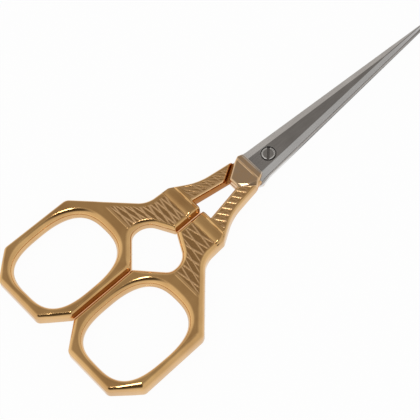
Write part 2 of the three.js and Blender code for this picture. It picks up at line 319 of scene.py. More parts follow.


# Ground steel: fine lines along the blade from a noise stretched along y, in tone, gloss and height; darker
# where "flat" is 1, a painted shade, and darker still by the share of painted shade
def steelMaterial(name, finish):
    material, tree, shader = newMaterial(name)
    place = addNode(tree, "TexCoord", {})["Object"]
    stretched = addNode(tree, "Mapping", dict(Vector=place, Scale=finish["lines"]))["Vector"]
    lines = noiseNode(tree, stretched, 1, detail=4, roughness=0.6)
    cloud = noiseNode(tree, place, finish["cloudScale"])
    both = mathNode(tree, "ADD", mathNode(tree, "MULTIPLY", lines, finish["lineShare"]),
                    mathNode(tree, "MULTIPLY", cloud, 1 - finish["lineShare"]))
    tone = rampNode(tree, both, finish["toneFrom"], (finish["dark"], finish["light"]))
    flat = rangeNode(tree, both, *noiseSpan, 1, finish["leastFlat"])
    flat = mathNode(tree, "MULTIPLY", shareNode(tree, "flat"), flat)
    tone = mixNode(tree, flat, tone, finish["flat"])
    tone = mixNode(tree, shareNode(tree, "paintedShade"), tone, finish["paintedShade"])
    rough = rangeNode(tree, both, *noiseSpan, finish["satin"], finish["dull"])
    rough = mixNode(tree, flat, rough, finish["flatRough"])
    finishMetal(tree, shader, tone, rough, lines, finish)
    return material


# Plan of one handle, mm from the pivot, with its bow towards +x and its leg running down -y. A third number
# is the radius of that corner, and legEnd is where the leg's two sides end inside the collar.
plan = dict(slit=0.15, corner=0.9, legInnerTop=(1.1, -9.4), legInnerFoot=(2.7, -18.2),
            legOuterTop=(3.8, -6.0), legEnd=(-8.2, -5.3), knee=(5.08, -14.6, 12),
            platformEnd=(8.4, -19.9, 1.3), flare=(8.75, -25.3, 5), bowShoulder=(21.0, -36.6, 2),
            bowCorner=-52.45, bowCornerRound=1.4, footChamfer=4.7, footEdge=0.3, notch=(0.15, -37.0, 0.7),
            archFoot=(5.9, -32.0, 2.4), archSide=(6.03, -28.35, 3.8), archTop=(0.15, -25.3, 0.5),
            baseLine=-31.9, rim=2.38, holeTop=-35.05, squareness=(3.0, 2.65), stepFoot=(1.6, -10.15),
            stepTop=(2.8, -8.15))

# Edges of a handle. At each level along y: how far in the outer edge reaches, how far it drops, and how much
# of it is chamfer. The hole's reach and depth are for its sides and top. A From says where a change runs.
section = dict(levels=(-56, -52, -34, -31, -21.5, -19, -18), reach=(0.95, 1.42, 1.5, 1.25, 0.95, 0.7, 0.48),
               depth=(0.85, 1.1, 1.1, 1.05, 1.0, 0.75, 0.5), chamfer=(0.05, 0.45, 0.45, 0.45, 0.45, 0.4, 0.3),
               chamferPower=1.5, crisp=(0.48, 0.5), crispFrom=(0.6, 0.1), crispFoot=4, holeReach=(1.15, 1.58),
               holeDepth=(1.5, 1.9), holeTopFrom=(-41, -35), holeFarFrom=(-1, 4), stepEdge=(0.6, 1.2),
               slitReach=1.0, slitFrom=(4, 2), notchFade=1, slitBevel=(0.65, 1.14, 1.1), bevelNotch=-0.9,
               bevelArch=(-0.2, 0.6), steps=11)

# Reliefs of a handle: the full height at each level along y, then beads and rolls as (place, half-width,
# rise), crossed bars as (cells, half-width, rise, second set's share, share of painted highlight), rungs as
# (share, braces'), whose shares also weigh the painted highlight
relief = dict(levels=(-32.6, -31.4, -18.6, -17.8, -9.0), height=(1.62, 1.55, 1.55, 1.48, 1.34),
              baseBead=(-31.72, 0.26, 0.07), baseBeadFrom=(0.9, 1.8), panel=(-31.4, -21.6), panelDepth=0.05,
              border=(0.8, 1.3), panelFoot=0.25, panelHead=(-0.1, 0.15), faceBars=(6, 0.2, 0.03, 0.9, 0.85),
              backBars=(8, 0.21, 0.028, 0.95, 1.0), roll=(-20.25, 1.42, 0.3), rollFrom=(0.1, 0.45),
              rollTop=(-18.85, -19.05), rollEnds=(1.02, 6), topBead=(-18.65, 0.28, 0.06),
              topBeadFrom=(0.3, 0.7), upperFoot=-18.3, upperInner=(0.42, 0.66), upperOuter=(0.5, 0.8),
              upperDepth=0.05, upperSunk=0.65, crest=(0.3, 0.28, 0.07), rungFirst=-20.35, rungPitch=1.75,
              rungSlope=0.7, rung=(0.27, 0.062), rungMirror=3.5, faceRungs=(0.82, 0.5), backRungs=(0.5, 0.9),
              brace=(0.6, 0.3))

# Finish of a handle: how pale its beads are (a painted highlight), how worn its edges, and how dark the
# painted shade is in the slit, on the wall of the window between the upper legs, and at the step
wearAndPaintedLight = dict(beadHighlight=0.45, crestHighlight=0.8, wear=0.35, wearFrom=(0.55, 0.1), slitShade=0.25,
               slitFrom=(0.8, 0.3), slitEnds=(-0.4, 0.2), windowFrom=(0.12, 0.03), stepShade=0.7,
               stepFrom=(0.6, 0.2), stepBeyond=0.3)

slit = plan["slit"]
platformTop = plan["legInnerFoot"][1]
holeHalf = np.array([bowSide - slit - 2 * plan["rim"], bowReach + plan["holeTop"] - plan["rim"]]) / 2
holeCentre = np.array([(slit + bowSide) / 2, plan["holeTop"] - holeHalf[1]])


# Finger hole: the superellipse |x/a|^n + |y/b|^n = 1, rounder above than below, met by a ray to each point
def holePoint(through):
    ray = through - holeCentre
    n = np.where(ray[..., 1] < 0, *plan["squareness"])
    x, y = np.abs(ray[..., 0]) / holeHalf[0], np.abs(ray[..., 1]) / holeHalf[1]
    return holeCentre + ray / ((x ** n + y ** n) ** (1 / n))[..., None]


# Where the step that clears the other half's collar crosses the upper leg, and where that leg ends
legInnerTop, legOuterTop = np.array(plan["legInnerTop"]), np.array(plan["legOuterTop"])
stepFoot = np.array(plan["stepFoot"])
stepWay = plan["stepTop"] - stepFoot
innerWay, outerWay = legInnerTop - plan["legInnerFoot"], legOuterTop - plan["knee"][:2]
stepInner = crossing(stepFoot, stepWay, legInnerTop, innerWay)
stepOuter = crossing(stepFoot, stepWay, legOuterTop, outerWay)
innerLevel, outerLevel = plan["legEnd"]
endInner = stepInner + innerWay * (innerLevel - stepInner[1]) / innerWay[1]
endOuter = stepOuter + outerWay * (outerLevel - stepOuter[1]) / outerWay[1]

# The outline from the outer end of the base line round the bow and the arch to the foot of the upper leg
baseOuter = atLevel(np.array(plan["flare"][:2]), np.array(plan["bowShoulder"][:2]), plan["baseLine"])
platformOuter = atLevel(np.array(plan["platformEnd"][:2]), np.array(plan["knee"][:2]), platformTop)
footX, cornerY, cornerRound = plan["footChamfer"], plan["bowCorner"], plan["bowCornerRound"]
around = roundedPath([baseOuter, plan["bowShoulder"], (bowSide, cornerY, cornerRound),
                      (bowSide - footX, -bowReach, cornerRound), (slit + footX, -bowReach, cornerRound),
                      (slit, cornerY, cornerRound), plan["notch"], plan["archFoot"], plan["archSide"],
                      plan["archTop"], (slit, platformTop, plan["corner"]), plan["legInnerFoot"]],
                     spacing=0.3, arcSteps=13)
turnUp = np.where(around[:, 1] < plan["baseLine"])[0][-1]  # the last point below the base line
baseInner = atLevel(around[turnUp], around[turnUp + 1], plan["baseLine"])
bowOuter = join([around[:turnUp + 1], baseInner[None]])
lowerInner = join([baseInner[None], around[turnUp + 1:]])
lowerOuter = roundedPath([baseOuter, plan["flare"], plan["platformEnd"], platformOuter], spacing=0.25,
                         arcSteps=14)
upperInner = np.array([plan["legInnerFoot"], stepInner, endInner])
upperOuter = roundedPath([platformOuter, plan["knee"], stepOuter, endOuter], spacing=0.4, arcSteps=20)
outline = join([upperInner[::-1], lowerInner[::-1], bowOuter[::-1], lowerOuter, upperOuter])
footStart = np.argmax(around[:, 1] < plan["footEdge"] - bowReach)
farSide = join([upperOuter[::-1], lowerOuter[::-1], around[:footStart]])  # outer side, down to the foot
rimAngle = np.linspace(0, 2 * math.pi, 181)
holeRim = holePoint(holeCentre + np.stack([np.cos(rimAngle), np.sin(rimAngle)], 1))

# Steps inwards from an edge, closest where the rounded edge is steepest
edgeSteps = 1 - np.cos(np.linspace(0, math.pi / 2, section["steps"]))
print("handle outline:", len(outline), "points")


# Rounded edge as a drop: a quarter ellipse, `depth` at the edge and 0 at `reach` inwards
def edgeDrop(distance, reach, depth):
    return depth * (1 - np.sqrt(1 - np.clip(1 - distance / reach, 0, 1) ** 2))


# Polished chamfer as a drop: part of it a power of the share left to the edge, the rest a quarter ellipse
def chamferDrop(distance, reach, depth, part):
    left = np.clip(1 - distance / reach, 0, 1)
    return part * depth * left ** section["chamferPower"] + (1 - part) * edgeDrop(distance, reach, depth)


# Rounded bar: a parabola of the given half-width across its middle line
def barRise(distance, half):
    return np.clip(1 - (distance / half) ** 2, 0, 1)


# Crossed bars: the phase is the place along the leg, in cells, plus or minus the place across it, and a bar
# stands wherever the phase is a whole number; the second set stands lower by its share
def crossedBars(along, across, cellLength, width, half, second=1):
    rise = 0
    for way, share in ((1, 1), (-1, second)):
        phase = along + way * across
        away = np.abs(phase - np.round(phase)) * cellLength / np.sqrt(1 + (cellLength / width) ** 2)
        rise = np.maximum(rise, share * barRise(away, half))
    return rise


# Height of the plain handle over its plan: full height towards the middle, rounded down at the outline and
# the hole and bevelled steeply at the slit, with the bead along the base line. On the back the outer side's
# edge is crisper, and that side of the hole is rounded as widely as its top.
def plainHeight(xy, isBack):
    x, y = xy.T
    notchY, archY = plan["notch"][1], plan["archTop"][1]
    toEdge, toHole = pathDistance(xy, outline), pathDistance(xy, holeRim)
    reach, depth, chamfer = (np.interp(y, section["levels"], section[key])
                             for key in ("reach", "depth", "chamfer"))
    fade = section["notchFade"]
    reach = mixed(reach, section["slitReach"],
                  softStep(x, *section["slitFrom"]) * softStep(y, notchY + fade, notchY - fade))
    crisp = isBack * softStep(pathDistance(xy, farSide) - toEdge, *section["crispFrom"])
    crisp = crisp * softStep(y, -bowReach, section["crispFoot"] - bowReach)
    reach, depth = (mixed(value, end, crisp) for value, end in zip((reach, depth), section["crisp"]))
    wide = np.maximum(softStep(y, *section["holeTopFrom"]),
                      isBack * softStep(x - holeCentre[0], *section["holeFarFrom"]))
    holeReach, holeDepth = mixed(*section["holeReach"], wide), mixed(*section["holeDepth"], wide)
    bevelReach, bevelDepth, power = section["slitBevel"]
    bevel = bevelDepth * np.clip(1 - (x - slit) / bevelReach, 0, 1) ** power
    archFrom, archTo = section["bevelArch"]
    bevel = bevel * (softStep(y, notchY, notchY + section["bevelNotch"])
                     + softStep(y, archY + archFrom, archY + archTo))
    edge = np.maximum(chamferDrop(toEdge, reach, depth, chamfer), bevel)
    hole = np.minimum(edgeDrop(toHole, holeReach, holeDepth), section["holeDepth"][0])
    height = np.interp(y, relief["levels"], relief["height"]) - edge - hole
    middle, half, rise = relief["baseBead"]
    bead = barRise(y - middle, half) * softStep(toEdge, *relief["baseBeadFrom"])
    worn = softStep(np.minimum(toEdge, toHole), *wearAndPaintedLight["wearFrom"])
    return height + rise * bead, toEdge, worn, bead


# Relief of the lower leg: a sunk panel with crossed bars, then the platform's roll, which falls away at its
# two ends, and the bead at its top
def lowerRelief(xy, toEdge, along, across, width, bars):
    y = xy[:, 1]
    low, high = relief["panel"]
    headLow, headHigh = (high + h for h in relief["panelHead"])
    cells, half, rise, second, paintedHighlight = bars
    inside = softStep(toEdge, *relief["border"])
    panel = inside * softStep(y, low, low + relief["panelFoot"]) * softStep(y, headHigh, headLow)
    raised = crossedBars(along * cells, across, (high - low) / cells, width, half, second) * panel
    middle, rollHalf, rollRise = relief["roll"]
    band = softStep(toEdge, *relief["rollFrom"]) * softStep(y, headLow, headHigh)
    band = band * softStep(y, *relief["rollTop"])
    endShift, endPower = relief["rollEnds"]
    roll = barRise(y - middle, rollHalf) * (1 - np.clip(np.abs(2 * across - endShift), 0, 1) ** endPower)
    beadMiddle, beadHalf, beadRise = relief["topBead"]
    bead = beadRise * barRise(y - beadMiddle, beadHalf) * softStep(toEdge, *relief["topBeadFrom"])
    height = rise * raised - relief["panelDepth"] * panel + band * rollRise * (roll - 1) + bead
    # Besides the height and the panel, the bars' share of painted highlight goes out
    return height, panel, paintedHighlight * raised


# Relief of the upper leg: a sunk panel with slanting rungs along the lines y = slope x + first + k pitch,
# mirrored on the back, crossed braces between them, and a rounded crest along the inner edge
def upperRelief(xy, isBack):
    x, y = xy.T
    low, pitch, slope = relief["upperFoot"], relief["rungPitch"], relief["rungSlope"]
    order = np.argsort(upperOuter[:, 1])
    innerX = np.interp(y, upperInner[:, 1], upperInner[:, 0])
    outerX = np.interp(y, upperOuter[order, 1], upperOuter[order, 0])
    above = softStep(y, low, low + relief["panelFoot"])
    panel = softStep(x - innerX, *relief["upperInner"]) * softStep(outerX - x, *relief["upperOuter"]) * above
    half, rise = relief["rung"]
    rungX = 2 * relief["rungMirror"] - x if isBack else x
    phase = (y - slope * rungX - relief["rungFirst"]) / pitch
    rungs = barRise(np.abs(phase - np.round(phase)) * pitch / math.hypot(1, slope), half)
    width = np.maximum(outerX - innerX, 0.1)  # never empty, past the end of the leg
    braceHalf, braceRise = relief["brace"]
    braces = crossedBars(phase, (x - innerX) / width, pitch, width, braceHalf * half)
    rungShare, braceShare = relief["backRungs" if isBack else "faceRungs"]
    # Painted highlight on the rungs, the braces and the crest
    paintedHighlight = np.maximum(rungShare * rungs, braceShare * braces) * panel
    middle, crestHalf, crestRise = relief["crest"]
    crest = barRise(pathDistance(xy, upperInner) - middle, crestHalf) * above
    height = rise * np.maximum(rungShare * rungs, braceRise * braceShare * braces) * panel
    height = height - relief["upperDepth"] * panel + crestRise * crest
    return height, relief["upperSunk"] * panel, np.maximum(paintedHighlight, wearAndPaintedLight["crestHighlight"] * crest)


# Density of the grids: bands of close rows along the edges, as shares, and counts of rows between them.
# cornerDown is where the lower leg's side ends in the platform's corner.
grid = dict(innerBand=0.14, innerRows=24, outerBand=0.16, outerRows=42, ringRows=9, ringFit=0.98, legRows=150,
            legTop=0.05, legBend=(0.93, 0.07), cornerDown=0.3, topSpread=0.5, upperRows=100, upperTop=0.04,
            tongueRows=12, tongueStart=0.008)


# Shares from 0 to 1, even up to the last band and ever closer in it
def closingRows(rows, band):
    return join([np.linspace(0, 1 - band, rows)[:-1], 1 - band * edgeSteps[::-1]])


# Plan of a handle as three grids: a ring of rays round the hole, the lower leg and the upper leg
def handleGrids():
    split = (plan["legInnerFoot"][0] - slit) / (platformOuter[0] - slit)  # where the upper leg starts
    band = grid["innerBand"]
    inner = join([band * edgeSteps[:-1], np.linspace(band, split, grid["innerRows"])[:-1]])
    band = grid["outerBand"]
    outer = join([band * edgeSteps[:-1], np.linspace(band, 1 - band, grid["outerRows"]),
                  1 - band * edgeSteps[-2::-1]])
    across = join([inner, split + (1 - split) * outer])

    base = baseInner + across[:, None] * (baseOuter - baseInner)
    rimOuter = join([bowOuter[:-1], base[:-1]])
    rimInner = holePoint(rimOuter)
    width = np.linalg.norm(rimInner - rimOuter, axis=1)
    outerReach, holeReach = max(section["reach"]), section["holeReach"][0]
    fit = np.minimum(1, grid["ringFit"] * width / (outerReach + holeReach))
    fromOuter = edgeSteps[:, None] * outerReach * fit / width
    fromInner = 1 - edgeSteps[::-1, None] * holeReach * fit / width
    between = fromOuter[-1] + np.linspace(0, 1, grid["ringRows"])[1:-1, None] * (fromInner[0] - fromOuter[-1])
    share = join([fromOuter, between, fromInner])
    ring = rimOuter + share[..., None] * (rimInner - rimOuter)

    # Lower leg: straight rows between equal shares of its sides; the last ones bend to the platform's top
    rowShare = closingRows(grid["legRows"], grid["legTop"])
    sideEnd = np.argmax(lowerInner[:, 1] > platformTop - plan["corner"] * grid["cornerDown"])
    side, far = alongPath(lowerInner[:sideEnd + 1], rowShare), alongPath(lowerOuter, rowShare)
    lower = side[:, None] + across[:, None] * (far - side)[:, None]
    top = join([lowerInner[sideEnd:], platformOuter[None]])
    topX = np.maximum(slit + (platformOuter[0] - slit) * across, side[-1, 0] + grid["topSpread"] * across)
    wanted = np.stack([topX, np.interp(topX, top[:, 0], top[:, 1])], 1)
    wanted[0] = side[-1]
    bendFrom, bendOver = grid["legBend"]
    bend = np.clip((rowShare - bendFrom) / bendOver, 0, 1) ** 2
    lower = lower + bend[:, None, None] * (wanted - lower[-1])

    # Upper leg: rows that lean over until one lies along the step, then a few that end inside the collar
    toStep = closingRows(grid["upperRows"], grid["upperTop"])
    past = join([[grid["tongueStart"]], np.linspace(0, 1, grid["tongueRows"])[1:]])[:, None]
    outerRun = upperOuter[:np.argmin(np.linalg.norm(upperOuter - stepOuter, axis=1)) + 1]
    foot = plan["legInnerFoot"]
    legSide = join([foot + toStep[:, None] * (stepInner - foot), stepInner + past * (endInner - stepInner)])
    legFar = join([alongPath(outerRun, toStep), stepOuter + past * (endOuter - stepOuter)])
    upper = legSide[:, None] + outer[:, None] * (legFar - legSide)[:, None]
    return ring, lower, upper, across, np.linalg.norm(far - side, axis=1), len(toStep)


# One handle: the grids merged into one flat mesh, lifted to the face and dropped to the back, with a wall
# along every edge that only one triangle uses
def handleMesh():
    ring, lower, upper, across, legWidth, stepRow = handleGrids()
    grids = [ring, lower, upper]
    pointSets = [g.reshape(-1, 2) for g in grids]
    flat = join(pointSets)
    merged, triangles, first = mergePoints(pointSets, [gridTriangles(*g.shape[:2], g is ring) for g in grids])
    corners = merged[triangles]
    side, other = corners[:, 1] - corners[:, 0], corners[:, 2] - corners[:, 0]
    clockwise = side[:, 0] * other[:, 1] < side[:, 1] * other[:, 0]
    triangles[clockwise] = triangles[clockwise, ::-1]

    kind = np.repeat([0, 1, 2], [len(p) for p in pointSets])
    isLower, isUpper = kind == 1, kind == 2
    low, high = relief["panel"]
    alongLeg = np.clip((lower[..., 1].mean(1) - low) / (high - low), -1, 2)
    legShares = [np.broadcast_to(v, lower.shape[:2]).ravel()
                 for v in (alongLeg[:, None], across, legWidth[:, None])]
    beyond = np.zeros(len(flat), bool)  # past the step
    beyond[isUpper] = np.repeat(np.arange(upper.shape[0]) >= stepRow, upper.shape[1])
    sheets = []
    for bars, isBack in ((relief["faceBars"], False), (relief["backBars"], True)):
        height, toEdge, worn, bead = plainHeight(flat, isBack)
        # ridge holds the painted highlight on beads, bars, rungs and crest
        sunk, ridge = np.zeros(len(flat)), wearAndPaintedLight["beadHighlight"] * bead
        change, sunk[isLower], paintedHighlight = lowerRelief(flat[isLower], toEdge[isLower], *legShares, bars)
        height[isLower] += change
        ridge[isLower] = np.maximum(ridge[isLower], paintedHighlight)
        change, sunk[isUpper], ridge[isUpper] = upperRelief(flat[isUpper], isBack)
        height[isUpper] += change
        sheets.append((height, sunk, ridge))
    (face, faceSunk, faceHighlight), (back, backSunk, backHighlight) = sheets
    toStep = pathDistance(flat, np.stack([stepInner, stepOuter]))
    back = np.where(isUpper, edgeDrop(toStep, *section["stepEdge"]) - back, -back)
    back[beyond] = tongueGap

    x, y = flat.T
    # Painted shade, kept in "deep": in the slit, on the wall of the window between the upper legs and at the
    # step
    notchEnd, archEnd = (plan[key][1] + end for key, end in zip(("notch", "archTop"), wearAndPaintedLight["slitEnds"]))
    deep = wearAndPaintedLight["slitShade"] * softStep(x, *wearAndPaintedLight["slitFrom"]) * ((y < notchEnd) | (y > archEnd))
    deep = np.maximum(deep, softStep(pathDistance(flat, upperInner), *wearAndPaintedLight["windowFrom"]))
    stepFrom, stepTo = wearAndPaintedLight["stepFrom"]
    shadeAtStep = wearAndPaintedLight["stepShade"] * softStep(toStep, stepFrom + wearAndPaintedLight["stepBeyond"] * beyond, stepTo)
    backShade = np.where(isUpper, np.maximum(deep, shadeAtStep), deep)
    worn = wearAndPaintedLight["wear"] * worn
    finish = {name: join([onFace[first], onBack[first]]) for name, onFace, onBack in (
        ("sunk", faceSunk, backSunk), ("ridge", faceHighlight, backHighlight),
        ("deep", deep, backShade), ("worn", worn, worn))}

    count = len(first)
    points = join([np.column_stack([flat, z])[first] for z in (face, back)])
    edges = join([triangles[:, [0, 1]], triangles[:, [1, 2]], triangles[:, [2, 0]]])
    key, backKey = edges[:, 0] * count + edges[:, 1], edges[:, 1] * count + edges[:, 0]
    a, b = edges[~np.isin(key, backKey)].T
    walls = join([np.stack([b, a, a + count], 1), np.stack([b, a + count, b + count], 1)])
    return points, join([triangles, triangles[:, ::-1] + count, walls]), finish


# Collar, mm from the pivot: its shield has corner radii, facetSide is the corner where the facet starts,
# ridge and lip are (y, half-width, rise)
collar = dict(shield=((0, -3.72), (-3.5, -3.75, 0.5), (-3.95, -5.0, 0.5), (-3.3, -6.4, 0.6),
                      (-1.05, -9.8, 0.35), (1.6, -9.8, 0.3), (4.0, -6.75, 0.3), (3.1, -5.1, 0.5),
                      (2.4, -3.75, 0.35), (0, -3.72)), middle=(0.05, -6.6), band=0.26, rings=40, under=0.03,
              face=1.62, ledge=(-5.5, 0.16, 0.3), ridge=(-5.55, 0.2, 0.07), lip=(-4.05, 0.36, 0.08),
              sideFade=(3.05, 0.35, -5.1), fadeFrom=(0.4, 2.4), facetSide=5, facet=(0.72, 0.25),
              facetBend=(0.42, 0.028), bevel=(0.45, 0.27), crease=0.06, corner=(0.22, 0.45),
              ridgeHighlight=(0.5, 1.3), rimHighlight=(0.35, 0.7), highlightFrom=(-4.35, -4.6), wallFootShade=0.5, lipBare=0.8,
              bareFrom=(-4.45, -4.25))


# The face drops to a ledge towards the blade, with a fine ridge between them and a lip at the end. A slightly
# bent facet cuts one side, and a bevel with soft creases runs round it. Each ring is the outline drawn in.
def collarMesh():
    shield = roundedPath(collar["shield"], spacing=0.16, arcSteps=7)[:-1]
    middle, band = np.array(collar["middle"]), collar["band"]
    share = join([band * edgeSteps, np.linspace(band, 1, collar["rings"])[1:]])
    xy = shield + share[:, None, None] * (middle - shield)
    toEdge = pathDistance(xy, join([shield, shield[:1]]))
    x, y = xy[..., 0], xy[..., 1]
    start, drop, run = collar["ledge"]
    top = collar["face"] - drop * softStep(y, start, start + run)
    sideX, lean, sideY = collar["sideFade"]
    fade = softStep(sideX - lean * (y - sideY) - x, *collar["fadeFrom"])
    for place, half, rise in (collar["ridge"], collar["lip"]):
        top = top + rise * barRise(y - place, half) * fade
    facetWidth, facetSlope = collar["facet"]
    facetStart, facetEnd = (np.array(collar["shield"][collar["facetSide"] + i][:2]) for i in (0, 1))
    facetLong = np.linalg.norm(facetEnd - facetStart)
    facetWay = (facetEnd - facetStart) / facetLong
    toFacet = (xy - facetStart) @ np.array([-facetWay[1], facetWay[0]])
    bendMiddle, bend = collar["facetBend"]
    bent = bend * ((xy - facetStart) @ facetWay - bendMiddle * facetLong) ** 2
    top = softMin(collar["face"] - bent - facetSlope * (facetWidth - toFacet), top, collar["crease"])
    bevelWidth, bevelDrop = collar["bevel"]
    top = softMin(collar["face"] - bevelDrop * (1 - toEdge / bevelWidth), top, collar["crease"])
    top = top - edgeDrop(toEdge, *collar["corner"])

    # Three rings underneath: the middle, one just inside the outline and the foot of the wall
    underRings = [middle + 0 * shield, shield + collar["under"] * (middle - shield), shield]
    planXY = join([np.stack(underRings), xy])
    z = join([np.full((3, len(shield)), collarGap), top])
    # Painted highlight along the ridge and the rim of the bevel, towards the lip
    ridgeY, ridgeHalf, _ = collar["ridge"]
    (ridgeHighlight, ridgeSpread), (rimHighlight, rimSpread) = collar["ridgeHighlight"], collar["rimHighlight"]
    paintedHighlight = np.maximum(ridgeHighlight * barRise(y - ridgeY, ridgeSpread * ridgeHalf),
                      rimHighlight * softStep(toEdge, bevelWidth, bevelWidth * rimSpread))
    paintedHighlight = join([np.zeros((3, len(shield))), paintedHighlight * softStep(y, *collar["highlightFrom"])])
    isFoot = np.arange(len(z))[:, None] == 2
    bare = 1 + collar["lipBare"] * softStep(planXY[..., 1], *collar["bareFrom"])
    # ridge is the painted highlight, deep a painted shade at the foot of the wall, worn the wear, bare
    # towards the lip
    finish = dict(sunk=0 * z, ridge=paintedHighlight, deep=collar["wallFootShade"] * isFoot + 0 * z, worn=~isFoot * bare)
    points = join([planXY, z[..., None]], -1)
    finish = {name: v.ravel() for name, v in finish.items()}
    return points.reshape(-1, 3), gridTriangles(*z.shape, True), finish


gold = goldMaterial(goldFinish)
handlePoints, handleFaces, handleFinish = handleMesh()
collarPoints, collarFaces, collarFinish = collarMesh()
castPoints, castFaces, keep = mergePoints([handlePoints, collarPoints], [handleFaces, collarFaces])
for half, node in (("front_half", "front_handle"), ("rear_half", "rear_handle")):
    piece = makePiece(node + "_cast", placed(castPoints, half == "rear_half"), castFaces.tolist(), gold, half,
                      node)
    for name, share in handleFinish.items():
        setShare(piece.data, name, join([share, collarFinish[name]])[keep])
    piece.data.set_sharp_from_angle(angle=sharpGold)


# Blade, mm from the pivot: spine and edge are at the pivot and the point, the flat's half-width is at the
# pivot, the start of the ridge and the point, and each tang is a row of places and a row of widths
blade = dict(tang=((-6.3, -5.0, -4.0, -3.0), (3.4, 3.97, 3.75, 3.46)),
             rearTang=((-6.2, -5.9, -5.5, -4.9, -4.0, -2.5), (3.55, 3.82, 3.95, 3.93, 3.74, 3.43)),
             tangEdge=((-6.3, -5.0, -3.6), (3.5, 3.42, 3.18)), spine=(3.32, 0.42), edge=(2.95, 0.1),
             flat=(1.85, 0.08, 0.04), flatShift=0.1, ridgeStart=33.0, tipThick=0.55, spineDrop=0.34,
             rounding=0.05, roundLimits=(0.3, 0.45), roundPull=0.25, rows=70, tipRows=16,
             flatMargin=(0.02, 0.03), spineBand=0.01, spineShadeFrom=(0, 8), tipDarkening=(0.4, 7),
             bevelShade=0.51, boreMargin=(0.02, 0.1))


# Blade's measures at each place along it: spine, edge, middle of the flat, its half-width and its height
def bladeMeasures(y, tang):
    b, share = blade, y / tipReach
    spine = -np.where(y < tang[0][-1], np.interp(y, *tang), mixed(*b["spine"], share))
    edge = np.where(y < b["tangEdge"][0][-1], np.interp(y, *b["tangEdge"]), mixed(*b["edge"], share))
    thick = mixed(bladeTop - matingGap, b["tipThick"], np.maximum(share, 0))
    flatHalf = np.interp(y, [0, b["ridgeStart"], tipReach], b["flat"])
    flatHalf = flatHalf + np.maximum(-y, 0) * (b["flat"][0] - b["flat"][1]) / b["ridgeStart"]
    past = np.clip((y - b["ridgeStart"]) / (tipReach - b["ridgeStart"]), 0, 1)
    middle = past * (spine + edge) / 2 + b["flatShift"] * np.clip(1 - y / b["ridgeStart"], 0, 1)
    return spine, edge, middle, flatHalf, matingGap + thick


# Blade: its section's corners (mating face, cutting edge, flat, spine) carried along it. Each corner is a
# short curve, drawn in towards its two neighbours by the rounding.
def bladeLoft(tang):
    b = blade
    y = join([np.linspace(tang[0][0], b["ridgeStart"], b["rows"]),
              np.linspace(b["ridgeStart"], tipReach, b["tipRows"])[1:]])
    spine, edge, middle, flatHalf, top = bladeMeasures(y, tang)
    mate = np.full(len(y), matingGap)
    low = top - b["spineDrop"] * (top - mate) / (top - mate).max()
    places = ((spine, y, mate), (edge, y, mate), (middle + flatHalf, y, top), (middle - flatHalf, y, top),
              (spine, y, low))
    corners = np.stack([np.stack(p, -1) for p in places], 1)
    after, before = np.roll(corners, -1, axis=1) - corners, np.roll(corners, 1, axis=1) - corners
    reach, back = (np.linalg.norm(v, axis=-1, keepdims=True) for v in (after, before))
    step, wide = (np.minimum(b["rounding"] * k, limit * np.minimum(reach, back))
                  for k, limit in zip((1, 2), b["roundLimits"]))
    after, before = after / reach, before / back
    loop = np.stack([corners + wide * before, corners + step * before,
                     corners + b["roundPull"] * step * (after + before),
                     corners + step * after, corners + wide * after], 2).reshape(len(y), -1, 3)
    count, last = loop.shape[1], (len(y) - 1) * loop.shape[1]
    faces = gridTriangles(len(y), count, True)[:, ::-1].tolist()
    faces += [list(range(count)), list(range(last + count - 1, last - 1, -1))]
    return loop.reshape(-1, 3), faces


# Share of painted shade on the flat: 1 on the blade's flat and 0 on its bevels, mating face and holes
def flatShadeShare(points, tang):
    _, _, middle, flatHalf, top = bladeMeasures(points[:, 1], tang)
    across, below = blade["flatMargin"]
    return (np.abs(points[:, 0] - middle) < flatHalf + across) & (points[:, 2] > top - below)


# Share of the darkest tone: painted shade on the spine's side, on the cutting bevel and inside the bores, and
# a darkening towards the point
def paintedShadeShare(points, tang):
    x, y, z = points.T
    spine, _, middle, flatHalf, _ = bladeMeasures(y, tang)
    tipShare, tipLong = blade["tipDarkening"]
    wider, below = blade["boreMargin"]
    return np.maximum.reduce([
        (np.abs(x - spine) < blade["spineBand"]) * softStep(y, *blade["spineShadeFrom"]),
        tipShare * softStep(y, tipReach - tipLong, tipReach),
        blade["bevelShade"] * (x > middle + flatHalf + blade["flatMargin"][0]),
        (np.hypot(x, y) < screw["counterbore"] + wider) & (z < bladeTop - below)])


# Turned solid: a profile of (radius, height) points carried round the z axis
def turned(profile, sides=96):
    angle = np.arange(sides) * 2 * math.pi / sides
    r, z = np.array(profile, float).T
    points = np.stack([r[:, None] * np.cos(angle), r[:, None] * np.sin(angle), z[:, None] + 0 * angle], -1)
    faces = gridTriangles(len(r), sides, True).tolist()
    faces += [list(range(sides - 1, -1, -1)), list(range((len(r) - 1) * sides, len(r) * sides))]
    return points.reshape(-1, 3), faces


# Screw and its bores, in mm; the counterbore's mouth is (widening, start below the flat, end above it)
screw = dict(shank=1.0, burr=0.1, head=1.4, headHeight=0.5, headRound=(0.02, 0.08), rimWidth=0.26,
             rimFall=0.005, dish=0.05, dishRun=0.06, dishMiddle=0.2, slot=(0.55, 0.36), slotAngle=-45,
             flatTo=0.1, shadeBelow=0.2, bore=1.06, threadBore=1.03, boreEnds=(-1, 3), counterbore=1.68,
             mouth=(0.06, 0.04, 0.02), seat=0.05)

